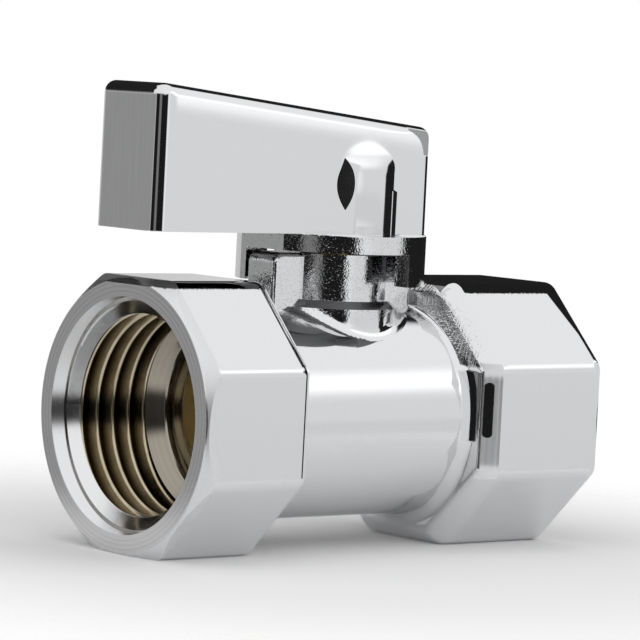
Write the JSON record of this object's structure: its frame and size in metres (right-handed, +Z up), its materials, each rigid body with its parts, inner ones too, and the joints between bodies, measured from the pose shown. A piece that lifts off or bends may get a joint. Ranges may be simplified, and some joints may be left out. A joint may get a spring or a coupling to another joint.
{
  "type": "mini ball valve",
  "caption": "Compact chrome-plated ball valve with octagonal female threaded ends and a quarter-turn block lever, shown open; the lever turns the ball to shut off the pipe.",
  "frame": {"origin": "on the plane of the two bottom flats, below the crossing of the pipe axis and the stem axis", "axes": "+X along the pipe from inlet to outlet, +Z up along the stem; the lever points to -X when open"},
  "size_m": [0.0494, 0.0252, 0.043],
  "materials": {
    "plated_body": "bright chrome plate on forged brass, bare brass and nickel in the bores",
    "plated_connector": "bright chrome plate on turned brass, bare brass and nickel in the bores",
    "plated_handle": "bright chrome plate on a zinc die casting",
    "plated_ball": "polished chrome plate",
    "bare_brass": "turned brass",
    "steel_screw": "zinc plated steel",
    "seat_plastic": "white slippery plastic",
    "seal_rubber": "black rubber"
  },
  "bodies": {
    "valve_body": {"body": "plated_body", "end_connector": "plated_connector", "seat_inlet": "seat_plastic", "seat_outlet": "seat_plastic"},
    "turning_set": {"handle": "plated_handle", "handle_screw": "steel_screw", "stem": "bare_brass", "stem_thrust_washer": "seat_plastic", "stem_o_ring_lower": "seal_rubber", "stem_o_ring_upper": "seal_rubber", "ball": "plated_ball"}
  },
  "joints": [
    {"name": "handle_turn", "type": "hinge", "parent": "valve_body", "child": "turning_set", "pos_m": [0, 0, 0.01265], "axis": [0, 0, 1], "range_deg": [-90, 0]}
  ]
}
